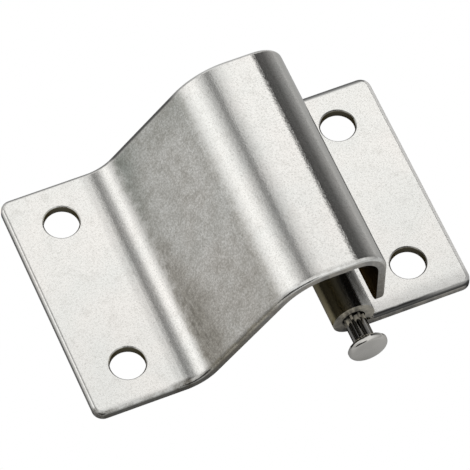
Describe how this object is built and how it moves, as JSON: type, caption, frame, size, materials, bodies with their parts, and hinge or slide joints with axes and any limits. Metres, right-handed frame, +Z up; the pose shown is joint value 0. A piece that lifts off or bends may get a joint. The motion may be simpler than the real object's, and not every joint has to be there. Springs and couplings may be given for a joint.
{
  "type": "folding door hinge",
  "caption": "Zinc-plated steel folding door hinge: a raised cranked leaf with a lip, a flat leaf, rolled knuckles and a headed fluted pin not yet driven home",
  "frame": {"origin": "the middle of the cranked leaf's two screw holes, on its mounting face", "axes": "+X from the cranked leaf's holes to the flat leaf, +Y along the pin away from its head, +Z up from the mounting faces"},
  "size_m": [0.0739, 0.0555, 0.0235],
  "materials": {
    "zinc_sheet": "bright zinc plate with a fine orange-peel mottle",
    "plated_pin": "smooth bright plating"
  },
  "bodies": {
    "cranked_leaf": {"cranked_leaf": "zinc_sheet"},
    "flat_leaf": {"flat_leaf": "zinc_sheet"},
    "pin": {"hinge_pin": "plated_pin"}
  },
  "joints": [
    {"name": "leaf_fold", "type": "hinge", "parent": "cranked_leaf", "child": "flat_leaf", "pos_m": [0.0406, 0, 0.00405], "axis": [0, 1, 0], "range_deg": [-40, 170]},
    {"name": "pin_drive", "type": "slide", "parent": "flat_leaf", "child": "pin", "axis": [0, 1, 0], "range_m": [-0.042, 0.0057]}
  ]
}
